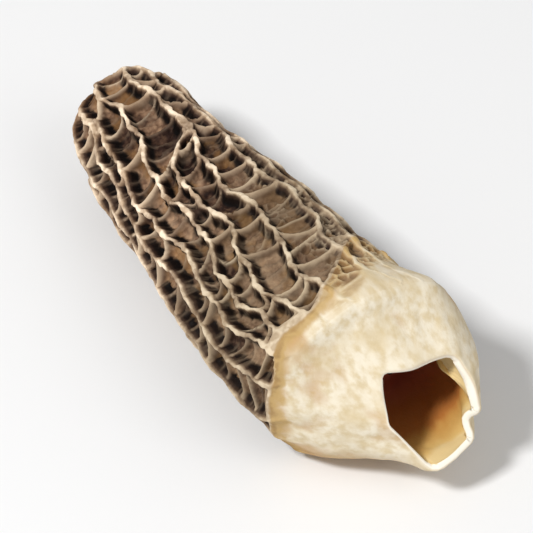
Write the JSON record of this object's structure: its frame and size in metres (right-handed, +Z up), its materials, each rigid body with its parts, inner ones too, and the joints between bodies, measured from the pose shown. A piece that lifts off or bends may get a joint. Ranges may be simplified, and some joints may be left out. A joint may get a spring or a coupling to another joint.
{
  "type": "dried morel mushroom",
  "caption": "Whole dried morel mushroom: hollow tapered cap with a raised net of ridges and pits, on a short bulging stem with an open mouth.",
  "frame": {"origin": "on the surface that the mushroom lies on, under the middle of its box", "axes": "+X along the mushroom from the cap's tip towards the stem's mouth, +Z up"},
  "size_m": [0.0617, 0.0226, 0.0203],
  "materials": {
    "morel_flesh": "dry, matt and wrinkled: dark brown pits between pale tan ridges on the cap, cream stem"
  },
  "bodies": {
    "root": {"morel": "morel_flesh"}
  },
  "joints": []
}
